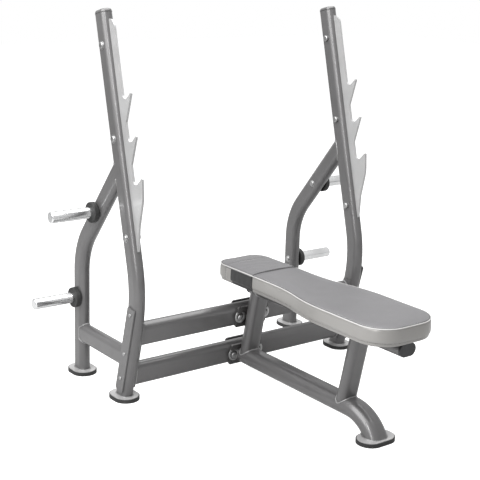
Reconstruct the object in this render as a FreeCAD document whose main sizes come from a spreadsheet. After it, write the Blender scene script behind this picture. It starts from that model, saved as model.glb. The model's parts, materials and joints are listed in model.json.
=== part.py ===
"""Olympic flat bench press: two bent side frames with hook strips, two crossmembers and a bench.

Frame: +X to the right seen from the pad's front end, +Y to the head end, +Z up, origin on the
floor under the middle of the bounding box. Left and right are as seen from the front. Lengths are in millimetres and angles in degrees.
Forward means -Y. Each sub-part is one object whose label names its STEP file.
"""
import FreeCAD, Part
import math
import os
import Sketcher

Vector = FreeCAD.Vector

SIZES = [
    ("side_x", 520, "middle plane of each side frame, from the bench's middle"),
    ("tube_wide", 72, "flat-oval tube, long side of the section"),
    ("tube_thick", 46, "flat-oval tube, short side of the section"),
    ("tube_wall", 3, "wall of every tube"),
    ("fit_gap", 0.3, "clearance of plugs, shanks and sleeves"),
    ("leg_foot_y", 14, "front leg's axis at its foot plate"),
    ("leg_lean", 14, "front leg's lean, forward going up"),
    ("knee_z", 404, "where the leg's and the upright's axes cross"),
    ("knee_radius", 460, "bend radius at the knee"),
    ("upright_lean", 14.25, "upright's lean, rearward going up"),
    ("upright_len", 1012, "knee to the upright's square top end"),
    ("rear_leg_y", 329, "rear leg's axis at its foot plate"),
    ("rear_bend_z", 495, "where the rear leg's two straight axes cross"),
    ("rear_bend_radius", 254, "bend radius of the rear leg"),
    ("joint_dist", 471, "knee to the rear leg's joint, along the upright"),
    ("rail_z", 164, "side rail's axis"),
    ("rail_wide", 76, "side rail's section height"),
    ("cap_flange", 12, "top cap outside the tube"),
    ("cap_round", 9, "rounding of a cap's outer edge"),
    ("cap_plug", 18, "plug of a cap inside its tube"),
    ("foot_long", 118, "leg foot plate, fore and aft"),
    ("foot_wide", 92, "foot plate, short side"),
    ("bench_foot_long", 142, "bench foot plate, side to side"),
    ("foot_plate", 6, "foot plate thickness"),
    ("rubber_base", 10, "rubber foot under its plate"),
    ("rubber_lip", 3, "rubber foot's lip beside its plate"),
    ("rubber_rise", 4, "height of that lip up the plate's edge"),
    ("strip_thick", 8, "hook strip thickness"),
    ("strip_back", 16, "hook strip's rear edge, behind the upright's axis"),
    ("strip_front", 66, "hook strip's front edge, ahead of the upright's axis"),
    ("strip_low", 167, "tail end of the strip, from the knee"),
    ("strip_tail", 40, "front of the tail end, ahead of the axis"),
    ("strip_taper", 252, "where the tail's taper starts, from the knee"),
    ("belly_reach", 112, "bulge under the lowest hook, ahead of the axis"),
    ("belly_high", 345, "that bulge, from the knee"),
    ("belly_round", 150, "its bend radius"),
    ("strip_high", 985, "top of the strip, from the knee"),
    ("strip_round", 32, "rounding of the strip's top front corner"),
    ("hook_pitch", 149.5, "distance between bar positions"),
    ("hook_high", 686, "corner of the top cradle, from the knee"),
    ("hook_reach", 126, "hook tip, ahead of the upright's axis"),
    ("hook_ramp", 30, "slope of the hook's inner side"),
    ("hook_under", 66, "hook's root below its cradle corner"),
    ("hook_nose", 3, "rounding of the hook tip"),
    ("cradle_radius", 17, "round of the cradle that the bar lies in"),
    ("hook_bolt_u", 0, "cross bolts, ahead of the upright's axis"),
    ("hook_bolt_1", 219, "lowest cross bolt, from the knee"),
    ("hook_bolt_2", 570, "middle cross bolt, from the knee"),
    ("hook_bolt_3", 899, "top cross bolt, from the knee"),
    ("bolt_radius", 6, "shank radius of the M12 bolts"),
    ("bolt_head_radius", 12, "head radius of the M12 bolts"),
    ("bolt_head", 7, "head height of the M12 bolts"),
    ("nut_deep", 11, "cap nut height"),
    ("horn_low_z", 306, "lower plate horn's axis"),
    ("horn_high_z", 667, "upper plate horn's axis"),
    ("horn_radius", 21, "plate horn radius"),
    ("horn_len", 182, "plate horn, from the leg's face to its end"),
    ("horn_round", 5, "rounding of the horn's end"),
    ("horn_bolt_radius", 6, "shank radius of the horn's M12 bolt"),
    ("horn_bolt_deep", 28, "depth of that bolt in the horn"),
    ("horn_head_radius", 11, "head radius of the horn's bolt"),
    ("horn_head", 6, "head height of the horn's bolt"),
    ("collar_radius", 38.5, "rubber stop collar radius"),
    ("collar_thick", 20, "rubber stop collar thickness"),
    ("collar_round", 3, "rounding of the collar's edges"),
    ("horn_step", 1, "how much thinner the horn is inside its collar"),
    ("horn_seat_gap", 0.3, "gap from the collar's face to the horn's shoulder"),
    ("end_plate", 6, "plate that ends the crossmembers on a leg"),
    ("end_plate_wide", 40, "its width along the leg's lean"),
    ("end_plate_low", 30, "its lower end, up the leg from the foot plate"),
    ("end_plate_high", 305, "its upper end, up the leg"),
    ("cover_plate", 5, "plate on the leg's outer face"),
    ("cover_wide", 46, "its width"),
    ("cover_low", 20, "its lower end, up the leg"),
    ("cover_high", 365, "its upper end, up the leg"),
    ("plate_round", 8, "corner radius of the flat plates"),
    ("screw_1", 74, "lowest cover screw, up the leg"),
    ("screw_2", 177, "middle cover screw, up the leg"),
    ("screw_3", 339, "top cover screw, up the leg"),
    ("screw_radius", 3, "shank radius of the cover screws"),
    ("screw_head_radius", 7, "head radius of the cover screws"),
    ("screw_head", 3.5, "head height of the cover screws"),
    ("screw_len", 12, "cover screw's length under its head"),
    ("cross_wide", 94, "crossmember's section height"),
    ("cross_low_z", 93.5, "lower crossmember's axis"),
    ("cross_low_y", 0, "lower crossmember's axis, fore and aft"),
    ("cross_high_z", 255.5, "upper crossmember's axis"),
    ("post_lean", 12, "lean of the bench posts and crossmembers"),
    ("post_wide", 78, "bench posts' section, side to side"),
    ("flange", 8, "flange plate between post and crossmember"),
    ("flange_wide", 144, "flange plate, side to side"),
    ("flange_high", 86, "flange plate and back plate height"),
    ("back_plate", 6, "back plate thickness"),
    ("back_wide", 124, "back plate, side to side"),
    ("bracket_bolt_x", 57, "bracket bolts, from the middle"),
    ("base_wide", 84, "base tube's section, side to side"),
    ("base_high", 64, "base tube's section height"),
    ("base_z", 81, "base tube's axis"),
    ("base_corner", 735, "where the base tube's two straight axes cross, forward"),
    ("base_bend_radius", 146, "bend radius of the base tube"),
    ("base_drop", 62.5, "slope of the base tube's front end"),
    ("front_post", 614, "front post's axis at the height of the lower crossmember, forward"),
    ("beam_z", 365, "pad beam's axis"),
    ("beam_rear", 80, "pad beam's rear end, forward"),
    ("beam_front", 884, "pad beam's front end, forward"),
    ("beam_cap", 9, "beam cap outside the tube"),
    ("mount_thick", 4, "saddle plate under the pad board"),
    ("mount_wide", 160, "saddle plate, side to side"),
    ("mount_deep", 44, "saddle plate, fore and aft"),
    ("mount_rear", 200, "rear saddle plate, forward"),
    ("mount_front", 760, "front saddle plate, forward"),
    ("mount_bolt_x", 62, "pad bolts, from the middle"),
    ("mount_bolt_radius", 4, "shank radius of the M8 pad bolts"),
    ("mount_head_radius", 7.5, "head radius of the pad bolts"),
    ("mount_head", 4.5, "head height of the pad bolts"),
    ("mount_bite", 8, "depth of a pad bolt in the board"),
    ("board_thick", 10, "pad board thickness"),
    ("board_inset", 9, "pad board inside the pad's outline"),
    ("pad_thick", 55, "pad from its board to its top"),
    ("pad_head", 43, "pad's head end, rearward"),
    ("pad_front", 912, "pad's front end, forward"),
    ("pad_neck", 109, "half the pad's width at the head end"),
    ("pad_seat", 148, "half the pad's width at the front"),
    ("flare_start", 385, "first corner of the pad's flare, forward"),
    ("flare_end", 540, "second corner of the pad's flare, forward"),
    ("flare_radius", 620, "bend radius of the pad's flare"),
    ("pad_head_round", 60, "corner radius at the pad's head end"),
    ("pad_front_round", 105, "corner radius at the pad's front end"),
    ("pad_edge", 7, "rounding of the pad's top edge"),
    ("cover_skin", 2.5, "head cover's thickness"),
    ("cover_rear", 30, "head cover's rear edge, forward"),
    ("cover_front", 198, "head cover's front edge, forward"),
]

# Heights and places that follow from the sizes above.
FOOT_TOP = "(Sizes.rubber_base + Sizes.foot_plate)"
RACK_Y = "((Sizes.pad_front - Sizes.rear_leg_y - Sizes.foot_long / 2 - Sizes.rubber_lip) / 2)"
KNEE_Y = f"(Sizes.leg_foot_y - tan(Sizes.leg_lean) * (Sizes.knee_z - {FOOT_TOP}))"
JOINT_Y = f"({KNEE_Y} + Sizes.joint_dist * sin(Sizes.upright_lean))"
JOINT_Z = "(Sizes.knee_z + Sizes.joint_dist * cos(Sizes.upright_lean))"
HORN_HIGH_Y = (
    f"(Sizes.rear_leg_y + ({JOINT_Y} - Sizes.rear_leg_y)"
    f" * (Sizes.horn_high_z - Sizes.rear_bend_z) / ({JOINT_Z} - Sizes.rear_bend_z))"
)
CROSS_RISE = "((Sizes.cross_high_z - Sizes.cross_low_z) / cos(Sizes.post_lean))"
CROSS_HIGH_Y = "(Sizes.cross_low_y - tan(Sizes.post_lean) * (Sizes.cross_high_z - Sizes.cross_low_z))"
CROSS_HALF = "(Sizes.side_x - Sizes.tube_thick / 2 - Sizes.end_plate)"
POST_BACK = "(Sizes.tube_thick / 2 + Sizes.flange)"
BEAM_TOP = "(Sizes.beam_z + Sizes.tube_thick / 2)"
BOARD_LOW = f"({BEAM_TOP} + Sizes.mount_thick)"
PAD_LOW = f"({BOARD_LOW} + Sizes.board_thick)"
HALF_THICK = "(Sizes.tube_thick / 2)"

SIDES = (("left", -1), ("right", 1))
ENDS = (("rear", "Sizes.rear_leg_y"), ("front", "Sizes.leg_foot_y"))

doc = FreeCAD.newDocument("BenchPress")
sheet = doc.addObject("Spreadsheet::Sheet", "Sizes")
for row, (alias, value, meaning) in enumerate(SIZES, start=1):
    sheet.set(f"A{row}", meaning)
    sheet.set(f"B{row}", str(value))
    sheet.setAlias(f"B{row}", alias)
doc.recompute()

bodies = []


def number(expression):
    """The present value of an expression in the sheet's sizes."""
    return float(sheet.evalExpression(expression))


# ---------------------------------------------------------------- bodies, sketches and features


def make_body(label, x="0", y="0", z="0", tilt=None):
    """A body of its own, placed in the rack; tilt leans its +Z forward, minus leans it rearward."""
    body = doc.addObject("PartDesign::Body", label)
    body.Label = label
    body.AllowCompound = True
    if tilt:
        sense, angle = tilt
        axis = Vector(sense, 0, 0)
        body.Placement = FreeCAD.Placement(Vector(), FreeCAD.Rotation(axis, number(angle)))
        body.setExpression("Placement.Rotation.Angle", angle)
    body.setExpression("Placement.Base.x", x)
    body.setExpression("Placement.Base.y", f"{RACK_Y} + {y}")
    body.setExpression("Placement.Base.z", z)
    bodies.append(body)
    return body


def sketch_on(body, role, name, x="0", y="0", z="0", turn=None):
    """A sketch on an origin plane; x, y and z shift it in the plane's own axes, turn rotates it."""
    plane = [item for item in body.Origin.OriginFeatures if item.Role == role][0]
    sketch = body.newObject("Sketcher::SketchObject", name)
    sketch.AttachmentSupport = (plane, [""])
    sketch.MapMode = "FlatFace"
    if turn:
        axis, angle = turn
        rotation = FreeCAD.Rotation(Vector(*axis), number(angle))
        sketch.AttachmentOffset = FreeCAD.Placement(Vector(), rotation)
        sketch.setExpression("AttachmentOffset.Rotation.Angle", angle)
    sketch.setExpression("AttachmentOffset.Base.x", x)
    sketch.setExpression("AttachmentOffset.Base.y", y)
    sketch.setExpression("AttachmentOffset.Base.z", z)
    return sketch


def bind(sketch, kind, *rest):
    """A driving constraint whose value is the expression given last."""
    *where, expression = rest
    index = sketch.addConstraint(Sketcher.Constraint(kind, *where, number(expression)))
    sketch.setExpression(f"Constraints[{index}]", expression)


def fix_point(sketch, geometry, vertex, x, y):
    """Hold one vertex at x, y from the sketch's origin."""
    bind(sketch, "DistanceX", -1, 1, geometry, vertex, x)
    bind(sketch, "DistanceY", -1, 1, geometry, vertex, y)


def circle(sketch, x, y, radius):
    """A circle at x, y."""
    centre = Vector(number(x), number(y), 0)
    index = sketch.addGeometry(Part.Circle(centre, Vector(0, 0, 1), number(radius)))
    fix_point(sketch, index, 3, x, y)
    bind(sketch, "Radius", index, radius)


def oval(sketch, wide, thick, along, x="0", y="0"):
    """A flat oval: two half circles joined by straight sides, long side along x or y."""
    radius = number(thick) / 2
    reach = f"({wide} - {thick}) / 2"
    middle = Vector(number(x), number(y), 0)
    shift = Vector(number(reach), 0, 0) if along == "x" else Vector(0, number(reach), 0)
    start = -math.pi / 2 if along == "x" else 0
    arcs = []
    for sense, angle in ((1, start), (-1, start + math.pi)):
        rim = Part.Circle(middle + shift * sense, Vector(0, 0, 1), radius)
        arcs.append(sketch.addGeometry(Part.ArcOfCircle(rim, angle, angle + math.pi)))
    for one, other in (arcs, arcs[::-1]):
        side = Part.LineSegment(sketch.getPoint(one, 2), sketch.getPoint(other, 1))
        index = sketch.addGeometry(side)
        sketch.addConstraint(Sketcher.Constraint("Tangent", one, 2, index, 1))
        sketch.addConstraint(Sketcher.Constraint("Tangent", index, 2, other, 1))
    bind(sketch, "Radius", arcs[0], f"{thick} / 2")
    if along == "x":
        fix_point(sketch, arcs[0], 3, f"{x} + {reach}", y)
        fix_point(sketch, arcs[1], 3, f"{x} - {reach}", y)
    else:
        fix_point(sketch, arcs[0], 3, x, f"{y} + {reach}")
        fix_point(sketch, arcs[1], 3, x, f"{y} - {reach}")


def tube_section(sketch, wide, along, x="0", y="0", thick="Sizes.tube_thick"):
    """The outer and inner walls of an oval tube."""
    oval(sketch, wide, thick, along, x, y)
    walls = "2 * Sizes.tube_wall"
    oval(sketch, f"({wide} - {walls})", f"({thick} - {walls})", along, x, y)


def corner_arc(before, corner, after, radius):
    """Ends and middle of the arc that rounds a corner, and whether it turns left."""
    back = (before - corner).normalize()
    ahead = (after - corner).normalize()
    half = math.acos(max(-1.0, min(1.0, back.dot(ahead)))) / 2
    start = corner + back * (radius / math.tan(half))
    end = corner + ahead * (radius / math.tan(half))
    middle = corner + (back + ahead).normalize() * (radius / math.sin(half))
    turns_left = back.cross(ahead).z < 0
    return start, end, middle, turns_left


def outline(sketch, corners, closed=True):
    """Straight sides through the corners (x, y, radius or None), each rounded by its own arc."""
    count = len(corners)
    points = [Vector(number(x), number(y), 0) for x, y, radius in corners]
    arcs = {}
    for index, (x, y, radius) in enumerate(corners):
        if radius:
            neighbours = points[index - 1], points[index], points[(index + 1) % count]
            arcs[index] = corner_arc(*neighbours, number(radius))
    sides = []
    for index in range(count if closed else count - 1):
        after = (index + 1) % count
        start = arcs[index][1] if index in arcs else points[index]
        end = arcs[after][0] if after in arcs else points[after]
        sides.append(sketch.addGeometry(Part.LineSegment(start, end)))
    for index, (x, y, radius) in enumerate(corners):
        if index in arcs:
            round_corner(sketch, sides[index - 1], sides[index], arcs[index], x, y, radius)
        elif closed or 0 < index < count - 1:
            sketch.addConstraint(Sketcher.Constraint("Coincident", sides[index - 1], 2, sides[index], 1))
            fix_point(sketch, sides[index], 1, x, y)
        elif index == 0:
            fix_point(sketch, sides[0], 1, x, y)
        else:
            fix_point(sketch, sides[-1], 2, x, y)


def round_corner(sketch, side, next_side, arc, x, y, radius):
    """The arc between two sides, tangent to both, with their crossing held at x, y."""
    start, end, middle, turns_left = arc
    first, last = (start, end) if turns_left else (end, start)
    angles = [math.atan2(point.y - middle.y, point.x - middle.x) for point in (first, last)]
    if angles[1] < angles[0]:
        angles[1] += 2 * math.pi
    rim = Part.Circle(middle, Vector(0, 0, 1), number(radius))
    bend = sketch.addGeometry(Part.ArcOfCircle(rim, *angles))
    entry, leave = (1, 2) if turns_left else (2, 1)
    sketch.addConstraint(Sketcher.Constraint("Tangent", side, 2, bend, entry))
    sketch.addConstraint(Sketcher.Constraint("Tangent", next_side, 1, bend, leave))
    bind(sketch, "Radius", bend, radius)
    crossing = sketch.addGeometry(Part.Point(Vector(number(x), number(y), 0)), True)
    sketch.addConstraint(Sketcher.Constraint("PointOnObject", crossing, 1, side))
    sketch.addConstraint(Sketcher.Constraint("PointOnObject", crossing, 1, next_side))
    fix_point(sketch, crossing, 1, x, y)


def box_outline(sketch, x_low, x_high, y_low, y_high, radius=None):
    """A rectangle, with rounded corners if a radius is given."""
    outline(sketch, [
        (x_low, y_low, radius),
        (x_high, y_low, radius),
        (x_high, y_high, radius),
        (x_low, y_high, radius),
    ])


def pad(body, sketch, length, symmetric=False, reversed_=False):
    """Extrude a sketch along its normal."""
    feature = body.newObject("PartDesign::Pad", "Pad")
    feature.Profile = sketch
    feature.setExpression("Length", length)
    feature.SideType = "Symmetric" if symmetric else "One side"
    feature.Reversed = reversed_
    return feature


def pocket(body, sketch, length=None):
    """Cut a sketch both ways from its plane, through everything or over a total length."""
    feature = body.newObject("PartDesign::Pocket", "Pocket")
    feature.Profile = sketch
    feature.SideType = "Symmetric"
    if length:
        feature.setExpression("Length", length)
    else:
        feature.Type = "ThroughAll"
    return feature


def pipe(body, profile, path):
    """Sweep a section along a path sketch."""
    feature = body.newObject("PartDesign::AdditivePipe", "Pipe")
    feature.Profile = profile
    doc.recompute([path])
    feature.Spine = (path, [f"Edge{index + 1}" for index in range(len(path.Shape.Edges))])
    return feature


def revolve(body, sketch, axis):
    """Turn a half profile a full turn about its sketch's H_Axis or V_Axis."""
    feature = body.newObject("PartDesign::Revolution", "Revolution")
    feature.Profile = sketch
    feature.ReferenceAxis = (sketch, [axis])
    feature.Angle = 360
    return feature


def round_rim(body, base, height, radius):
    """Fillet every edge of the base feature that lies at one height of the body."""
    doc.recompute([base])
    names = []
    for index, edge in enumerate(base.Shape.Edges, start=1):
        box = edge.BoundBox
        if abs(box.ZMin - height) < 1e-4 and abs(box.ZMax - height) < 1e-4:
            names.append(f"Edge{index}")
    feature = body.newObject("PartDesign::Fillet", "Fillet")
    feature.Base = (base, names)
    feature.setExpression("Radius", radius)
    return feature


def cut_beside_tube(body, y, z, tilt, wide, along, reach):
    """Shape a tube's end to sit on another tube: cut away that tube's outer form."""
    sketch = sketch_on(body, "XY_Plane", "Cope", y=y, z=z, turn=tilt)
    oval(sketch, wide, "Sizes.tube_thick", along)
    pocket(body, sketch, reach)


# ---------------------------------------------------------------- side frames

LEG_TURN = ((0, 0, 1), "Sizes.leg_lean")
UPRIGHT_TURN = ((0, 0, -1), "Sizes.upright_lean")
LEG_TILT = (1, "Sizes.leg_lean")
UPRIGHT_TILT = (-1, "Sizes.upright_lean")
POST_TILT = (1, "Sizes.post_lean")
HOOK_BOLTS = ("Sizes.hook_bolt_1", "Sizes.hook_bolt_2", "Sizes.hook_bolt_3")
SCREWS = ("Sizes.screw_1", "Sizes.screw_2", "Sizes.screw_3")
SCREW_HOLE = "Sizes.screw_radius + Sizes.fit_gap"
BOLT_HOLE = "Sizes.bolt_radius + Sizes.fit_gap"


def upright(side, sign):
    """One bent tube: front leg, knee and upright, with the slot for the hook strip."""
    body = make_body(f"{side}_upright", f"{sign} * Sizes.side_x")
    below = "Sizes.tube_wide"
    start_y = f"Sizes.leg_foot_y + {below} * tan(Sizes.leg_lean)"
    start_z = f"{FOOT_TOP} - {below}"
    path = sketch_on(body, "YZ_Plane", "Path")
    outline(path, [
        (start_y, start_z, None),
        (KNEE_Y, "Sizes.knee_z", "Sizes.knee_radius"),
        (
            f"{KNEE_Y} + Sizes.upright_len * sin(Sizes.upright_lean)",
            "Sizes.knee_z + Sizes.upright_len * cos(Sizes.upright_lean)",
            None,
        ),
    ], closed=False)
    section = sketch_on(
        body, "XY_Plane", "Section", y=start_y, z=start_z, turn=((1, 0, 0), "Sizes.leg_lean")
    )
    tube_section(section, "Sizes.tube_wide", "y")
    pipe(body, section, path)
    trim = sketch_on(body, "YZ_Plane", "FootTrim", x="Sizes.leg_foot_y", y=FOOT_TOP)
    box_outline(trim, "-2 * Sizes.tube_wide", "2 * Sizes.tube_wide", "-2 * Sizes.tube_wide", "0")
    pocket(body, trim)
    slot = sketch_on(body, "YZ_Plane", "Slot", x=KNEE_Y, y="Sizes.knee_z", turn=UPRIGHT_TURN)
    box_outline(
        slot, "-Sizes.tube_wide", "-Sizes.tube_thick / 2",
        "Sizes.strip_low - Sizes.fit_gap", "Sizes.strip_high + Sizes.fit_gap",
    )
    pocket(body, slot, "Sizes.strip_thick + 2 * Sizes.fit_gap")
    holes = sketch_on(body, "YZ_Plane", "CrossHoles", x=KNEE_Y, y="Sizes.knee_z", turn=UPRIGHT_TURN)
    for along in HOOK_BOLTS:
        circle(holes, "-Sizes.hook_bolt_u", along, BOLT_HOLE)
    pocket(body, holes)
    screws = sketch_on(
        body, "YZ_Plane", "ScrewHoles", x="Sizes.leg_foot_y", y=FOOT_TOP,
        z=f"{sign} * {HALF_THICK}", turn=LEG_TURN,
    )
    for along in SCREWS:
        circle(screws, "0", along, SCREW_HOLE)
    pocket(body, screws, "4 * Sizes.tube_wall")


def rear_leg(side, sign):
    """The rear leg: upright at its foot, bent forward to meet the upright."""
    body = make_body(f"{side}_rear_leg", f"{sign} * Sizes.side_x")
    path = sketch_on(body, "YZ_Plane", "Path")
    outline(path, [
        ("Sizes.rear_leg_y", FOOT_TOP, None),
        ("Sizes.rear_leg_y", "Sizes.rear_bend_z", "Sizes.rear_bend_radius"),
        (JOINT_Y, JOINT_Z, None),
    ], closed=False)
    section = sketch_on(body, "XY_Plane", "Section", y="Sizes.rear_leg_y", z=FOOT_TOP)
    tube_section(section, "Sizes.tube_wide", "y")
    pipe(body, section, path)
    tilt = ((-1, 0, 0), "Sizes.upright_lean")
    cut_beside_tube(body, KNEE_Y, "Sizes.knee_z", tilt, "Sizes.tube_wide", "y", "2 * Sizes.upright_len")
    holes = sketch_on(body, "YZ_Plane", "HornHoles")
    for y, z in horn_places():
        circle(holes, y, z, "Sizes.horn_bolt_radius + Sizes.fit_gap")
    pocket(body, holes)


def horn_places():
    """Both plate horns' axes on the rear leg."""
    return (("Sizes.rear_leg_y", "Sizes.horn_low_z"), (HORN_HIGH_Y, "Sizes.horn_high_z"))


def side_rail(side, sign):
    """The low rail between the rear and the front leg."""
    body = make_body(f"{side}_side_rail", f"{sign} * Sizes.side_x")
    section = sketch_on(body, "XZ_Plane", "Section", z="-Sizes.rear_leg_y")
    tube_section(section, "Sizes.rail_wide", "y", y="Sizes.rail_z")
    rise = f"(Sizes.rail_z - {FOOT_TOP})"
    pad(body, section, f"Sizes.rear_leg_y - Sizes.leg_foot_y + tan(Sizes.leg_lean) * {rise}")
    reach = "2 * Sizes.knee_z"
    tilt = ((1, 0, 0), "Sizes.leg_lean")
    cut_beside_tube(body, "Sizes.leg_foot_y", FOOT_TOP, tilt, "Sizes.tube_wide", "y", reach)
    cut_beside_tube(body, "Sizes.rear_leg_y", FOOT_TOP, None, "Sizes.tube_wide", "y", reach)


def top_cap(side, sign):
    """The plug that closes the upright's top end."""
    body = make_body(f"{side}_top_cap", f"{sign} * Sizes.side_x", KNEE_Y, "Sizes.knee_z", UPRIGHT_TILT)
    flange = sketch_on(body, "XY_Plane", "Flange", z="Sizes.upright_len")
    oval(flange, "Sizes.tube_wide", "Sizes.tube_thick", "y")
    rim = pad(body, flange, "Sizes.cap_flange")
    round_rim(body, rim, number("Sizes.upright_len + Sizes.cap_flange"), "Sizes.cap_round")
    plug = sketch_on(body, "XY_Plane", "Plug", z="Sizes.upright_len")
    less = "2 * (Sizes.tube_wall + Sizes.fit_gap)"
    oval(plug, f"(Sizes.tube_wide - {less})", f"(Sizes.tube_thick - {less})", "y")
    pad(body, plug, "Sizes.cap_plug", reversed_=True)


def foot(name, x, y, long_side, along):
    """A steel foot plate and the rubber foot that it stands in."""
    plate = make_body(f"{name}_foot_plate", x, y)
    section = sketch_on(plate, "XY_Plane", "Outline", z="Sizes.rubber_base")
    oval(section, long_side, "Sizes.foot_wide", along)
    pad(plate, section, "Sizes.foot_plate")
    rubber = make_body(f"{name}_rubber_foot", x, y)
    rim = sketch_on(rubber, "XY_Plane", "Outline")
    outer = "2 * Sizes.rubber_lip"
    oval(rim, f"({long_side} + {outer})", f"(Sizes.foot_wide + {outer})", along)
    pad(rubber, rim, "Sizes.rubber_base + Sizes.rubber_rise")
    seat = sketch_on(rubber, "XY_Plane", "Seat", z="Sizes.rubber_base + Sizes.rubber_rise")
    outer = "2 * Sizes.fit_gap"
    oval(seat, f"({long_side} + {outer})", f"(Sizes.foot_wide + {outer})", along)
    pocket(rubber, seat, "2 * Sizes.rubber_rise")


def hook_strip(side, sign):
    """The plate that holds the bar: a straight strip with three hooks and a long tail."""
    body = make_body(f"{side}_hook_strip", f"{sign} * Sizes.side_x", KNEE_Y, "Sizes.knee_z", UPRIGHT_TILT)
    strip = sketch_on(body, "YZ_Plane", "Strip")
    outline(strip, [
        ("Sizes.strip_back", "Sizes.strip_low", None),
        ("Sizes.strip_back", "Sizes.strip_high", None),
        ("-Sizes.strip_front", "Sizes.strip_high", "Sizes.strip_round"),
        ("-Sizes.strip_front", "Sizes.strip_taper", None),
        ("-Sizes.strip_tail", "Sizes.strip_low", None),
    ])
    pad(body, strip, "Sizes.strip_thick", symmetric=True)
    for step in range(3):
        corner = f"(Sizes.hook_high - {step} * Sizes.hook_pitch)"
        hook = sketch_on(body, "YZ_Plane", "Hook")
        ramp = "(Sizes.hook_reach - Sizes.strip_front) * tan(Sizes.hook_ramp)"
        inside = "-Sizes.strip_front + Sizes.cradle_radius"
        lowest = step == 2
        root = "Sizes.strip_taper" if lowest else f"({corner} - Sizes.hook_under)"
        belly = [("-Sizes.belly_reach", "Sizes.belly_high", "Sizes.belly_round")] if lowest else []
        outline(hook, [
            (inside, root, None),
            ("-Sizes.strip_front", root, None),
            *belly,
            ("-Sizes.hook_reach", f"{corner} + {ramp}", "Sizes.hook_nose"),
            ("-Sizes.strip_front", corner, "Sizes.cradle_radius"),
            ("-Sizes.strip_front", f"{corner} + 4 * Sizes.cradle_radius", None),
            (inside, f"{corner} + 4 * Sizes.cradle_radius", None),
        ])
        pad(body, hook, "Sizes.strip_thick", symmetric=True)
    holes = sketch_on(body, "YZ_Plane", "CrossHoles")
    for along in HOOK_BOLTS:
        circle(holes, "-Sizes.hook_bolt_u", along, BOLT_HOLE)
    pocket(body, holes)


def turned(body, axis, steps, x="0", y="0", z="0", rounds=None):
    """A turned piece: steps are (along, radius) corners of its half profile, closed on its axis."""
    rounds = rounds or {}
    sketch = sketch_on(body, "XY_Plane", "HalfProfile", x, y, z)
    corners = []
    for index, (along, radius) in enumerate(steps):
        place = (along, radius) if axis == "H_Axis" else (radius, along)
        corners.append((*place, rounds.get(index)))
    outline(sketch, corners)
    revolve(body, sketch, axis)


def bolt_steps(sign, face, head_radius, head, radius, tip):
    """A button-head bolt along one axis: its head stands on face, its tip lies at tip."""
    top = f"{sign} * ({face} + {head})"
    return [
        (f"{sign} * {tip}", "0"),
        (f"{sign} * {tip}", radius),
        (f"{sign} * {face}", radius),
        (f"{sign} * {face}", head_radius),
        (top, head_radius),
        (top, "0"),
    ]


def nut_steps(sign, face, radius, bore, deep):
    """A cap nut along one axis, its open end on face."""
    floor = f"{sign} * ({face} + 0.7 * {deep})"
    return [
        (f"{sign} * {face}", bore),
        (f"{sign} * {face}", radius),
        (f"{sign} * ({face} + {deep})", radius),
        (f"{sign} * ({face} + {deep})", "0"),
        (floor, "0"),
        (floor, bore),
    ]


def hook_fasteners(side, sign):
    """Cross bolts with heads on the outer face and cap nuts on the inner face."""
    where = (f"{sign} * Sizes.side_x", KNEE_Y, "Sizes.knee_z", UPRIGHT_TILT)
    bolts = make_body(f"{side}_hook_bolts", *where)
    nuts = make_body(f"{side}_hook_nuts", *where)
    tip = f"(0 - {HALF_THICK} - Sizes.nut_deep / 2)"
    head = "Sizes.bolt_head_radius"
    for along in HOOK_BOLTS:
        steps = bolt_steps(sign, HALF_THICK, head, "Sizes.bolt_head", "Sizes.bolt_radius", tip)
        place = {"y": "-Sizes.hook_bolt_u", "z": along}
        turned(bolts, "H_Axis", steps, rounds={4: "0.6 * Sizes.bolt_head"}, **place)
        steps = nut_steps(-sign, HALF_THICK, head, BOLT_HOLE, "Sizes.nut_deep")
        turned(nuts, "H_Axis", steps, rounds={2: "0.4 * Sizes.nut_deep"}, **place)


def plate_horns(side, sign):
    """Plate horns, their stop collars and the bolts that hold them through the rear leg."""
    bolts = make_body(f"{side}_horn_bolts", f"{sign} * Sizes.side_x")
    bore = "Sizes.horn_bolt_radius + Sizes.fit_gap"
    for level, (y, z) in zip(("lower", "upper"), horn_places()):
        horn = make_body(f"{side}_{level}_horn", f"{sign} * Sizes.side_x", y, z)
        end = f"{sign} * ({HALF_THICK} + Sizes.horn_len)"
        floor = f"{sign} * ({HALF_THICK} + Sizes.horn_bolt_deep + Sizes.bolt_head)"
        face = f"{sign} * {HALF_THICK}"
        neck = "(Sizes.horn_radius - Sizes.horn_step)"
        shoulder = f"{sign} * ({HALF_THICK} + Sizes.collar_thick + Sizes.horn_seat_gap)"
        turned(horn, "H_Axis", [
            (face, bore),
            (face, neck),
            (shoulder, neck),
            (shoulder, "Sizes.horn_radius"),
            (end, "Sizes.horn_radius"),
            (end, "0"),
            (floor, "0"),
            (floor, bore),
        ], rounds={4: "Sizes.horn_round"})
        collar = make_body(f"{side}_{level}_collar", f"{sign} * Sizes.side_x", y, z)
        far = f"{sign} * ({HALF_THICK} + Sizes.collar_thick)"
        turned(collar, "H_Axis", [
            (face, f"{neck} + Sizes.fit_gap"),
            (face, "Sizes.collar_radius"),
            (far, "Sizes.collar_radius"),
            (far, f"{neck} + Sizes.fit_gap"),
        ], rounds={1: "Sizes.collar_round", 2: "Sizes.collar_round"})
        tip = f"(0 - {HALF_THICK} - Sizes.horn_bolt_deep)"
        steps = bolt_steps(
            -sign, HALF_THICK, "Sizes.horn_head_radius", "Sizes.horn_head", "Sizes.horn_bolt_radius", tip
        )
        turned(bolts, "H_Axis", steps, y=y, z=z, rounds={4: "0.6 * Sizes.horn_head"})


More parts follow.
